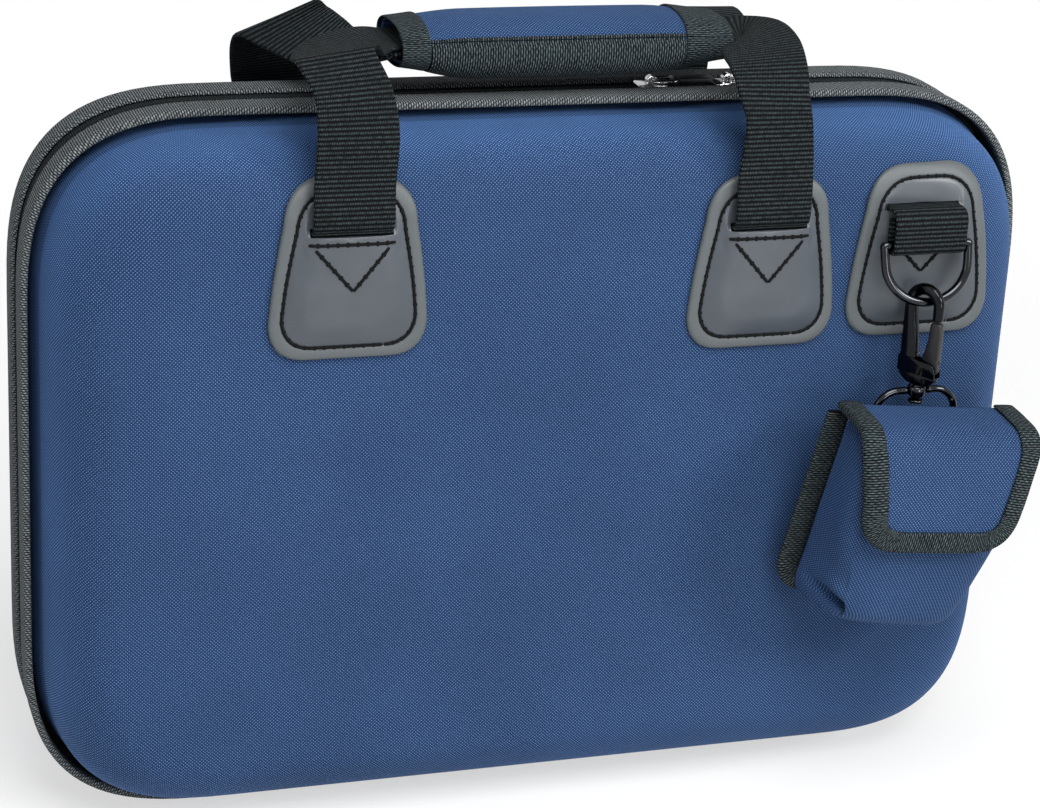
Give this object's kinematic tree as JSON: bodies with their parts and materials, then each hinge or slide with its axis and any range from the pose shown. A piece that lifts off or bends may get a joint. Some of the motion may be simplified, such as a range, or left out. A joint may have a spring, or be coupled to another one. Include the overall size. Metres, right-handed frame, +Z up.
{
  "type": "soft clarinet case",
  "caption": "Moulded fabric clarinet case with a bound zip, padded webbing handle, D-rings for a strap and a small flapped pouch on a snap hook.",
  "frame": {"origin": "middle of the flat hinge strip that the case stands on", "axes": "+X along the case to the right, seen from the lid; +Y back from the lid to the base; +Z up from the hinge to the handle"},
  "size_m": [0.3314, 0.1446, 0.2601],
  "materials": {
    "cloth": "blue woven polyester over a moulded shell",
    "webbing": "black ribbed nylon webbing and binding",
    "leather": "dark grey satin leather look",
    "plush": "short black pile",
    "gunmetal": "black nickel",
    "nickel": "polished nickel",
    "plastic": "black nylon"
  },
  "bodies": {
    "base": {"base_shell": "cloth", "base_insert": "plush", "base_binding": "webbing", "base_zipper_tape": "webbing", "base_zipper_coil": "plastic", "hinge_strip": "webbing", "rear_patch_left": "leather", "rear_patch_right": "leather", "rear_ring_patch": "leather", "rear_ring_loop": "webbing"},
    "lid": {"lid_shell": "cloth", "lid_lining": "plush", "lid_binding": "webbing", "lid_zipper_tape": "webbing", "lid_zipper_coil": "plastic", "front_patch_left": "leather", "front_patch_right": "leather", "front_ring_patch": "leather", "front_ring_loop": "webbing"},
    "front_handle": {"front_strap": "webbing"},
    "rear_handle": {"rear_strap": "webbing", "wrap_panel": "cloth", "wrap_binding_left": "webbing", "wrap_binding_right": "webbing", "wrap_binding_edge": "webbing", "wrap_fastener": "plastic"},
    "handle_flap": {"wrap_flap": "cloth", "flap_binding_left": "webbing", "flap_binding_right": "webbing", "flap_binding_edge": "webbing", "flap_fastener": "plush"},
    "front_d_ring": {"front_ring": "gunmetal"},
    "rear_d_ring": {"rear_ring": "gunmetal"},
    "hook": {"hook_body": "gunmetal", "gate_pin": "gunmetal", "gate_spring": "nickel", "swivel_rivet": "gunmetal"},
    "gate": {"hook_gate": "plastic"},
    "swivel": {"swivel_loop": "gunmetal"},
    "pouch": {"pouch_body": "cloth", "pouch_edge": "webbing", "pouch_tab": "webbing", "pouch_fastener": "plastic"},
    "pouch_lid": {"pouch_flap": "cloth", "pouch_flap_binding": "webbing", "pouch_flap_fastener": "plush"},
    "slider_left": {"left_slider": "nickel"},
    "slider_right": {"right_slider": "nickel"},
    "pull_left": {"left_pull_loop": "nickel", "left_pull_tab": "plastic"},
    "pull_right": {"right_pull_loop": "nickel", "right_pull_tab": "plastic"}
  },
  "joints": [
    {"name": "lid_hinge", "type": "hinge", "parent": "base", "child": "lid", "pos_m": [0, 0, 0], "axis": [1, 0, 0], "range_deg": [0, 170], "deforming": ["hinge_strip", "front_strap"]},
    {"name": "front_handle_swing", "type": "hinge", "parent": "lid", "child": "front_handle", "pos_m": [0, -0.044, 0.2005], "axis": [1, 0, 0], "range_deg": [0, 160], "deforming": ["front_strap"]},
    {"name": "rear_handle_swing", "type": "hinge", "parent": "base", "child": "rear_handle", "pos_m": [0, 0.044, 0.2005], "axis": [1, 0, 0], "range_deg": [-160, 0], "deforming": ["rear_strap", "front_strap"]},
    {"name": "wrap_flap_lift", "type": "hinge", "parent": "rear_handle", "child": "handle_flap", "pos_m": [0, 0.01445, 0.25522], "axis": [1, 0, 0], "range_deg": [-120, 0]},
    {"name": "front_ring_swing", "type": "hinge", "parent": "lid", "child": "front_d_ring", "pos_m": [0.1159, -0.0512, 0.1928], "axis": [1, 0, 0], "range_deg": [-100, 0]},
    {"name": "rear_ring_swing", "type": "hinge", "parent": "base", "child": "rear_d_ring", "pos_m": [-0.121, 0.0512, 0.1928], "axis": [1, 0, 0], "range_deg": [0, 100]},
    {"name": "hook_swing", "type": "hinge", "parent": "front_d_ring", "child": "hook", "pos_m": [0.1155, -0.0558, 0.1748], "axis": [1, 0, 0], "range_deg": [-60, 0]},
    {"name": "gate_press", "type": "hinge", "parent": "hook", "child": "gate", "pos_m": [0.11811, -0.06032, 0.15348], "axis": [0.866, 0.5, 0], "range_deg": [-20, 0], "stiffness_Nm_per_rad": 0.02, "springref_deg": 17.19, "deforming": ["gate_spring"]},
    {"name": "swivel_turn", "type": "hinge", "parent": "hook", "child": "swivel", "pos_m": [0.1155, -0.0558, 0.145], "axis": [0, 0, 1], "range_deg": [-6, 6]},
    {"name": "pouch_swing", "type": "hinge", "parent": "swivel", "child": "pouch", "pos_m": [0.1155, -0.0558, 0.13], "axis": [1, 0, 0], "range_deg": [-5, 0]},
    {"name": "pouch_flap_lift", "type": "hinge", "parent": "pouch", "child": "pouch_lid", "pos_m": [0.1172, -0.06048, 0.1396], "axis": [0.9863, 0.023, -0.1634], "range_deg": [-60, 0]},
    {"name": "slider_left_run", "type": "slide", "parent": "base", "child": "slider_left", "axis": [1, 0, 0], "range_m": [-0.134, 0]},
    {"name": "slider_right_run", "type": "slide", "parent": "base", "child": "slider_right", "axis": [1, 0, 0], "range_m": [0, 0.032]},
    {"name": "pull_left_lift", "type": "hinge", "parent": "slider_left", "child": "pull_left", "pos_m": [0.038, 0, 0.23505], "axis": [0, 1, 0], "range_deg": [-8, 0]},
    {"name": "pull_right_lift", "type": "hinge", "parent": "slider_right", "child": "pull_right", "pos_m": [0.064, 0, 0.23505], "axis": [0, 1, 0], "range_deg": [-85, 0]}
  ]
}
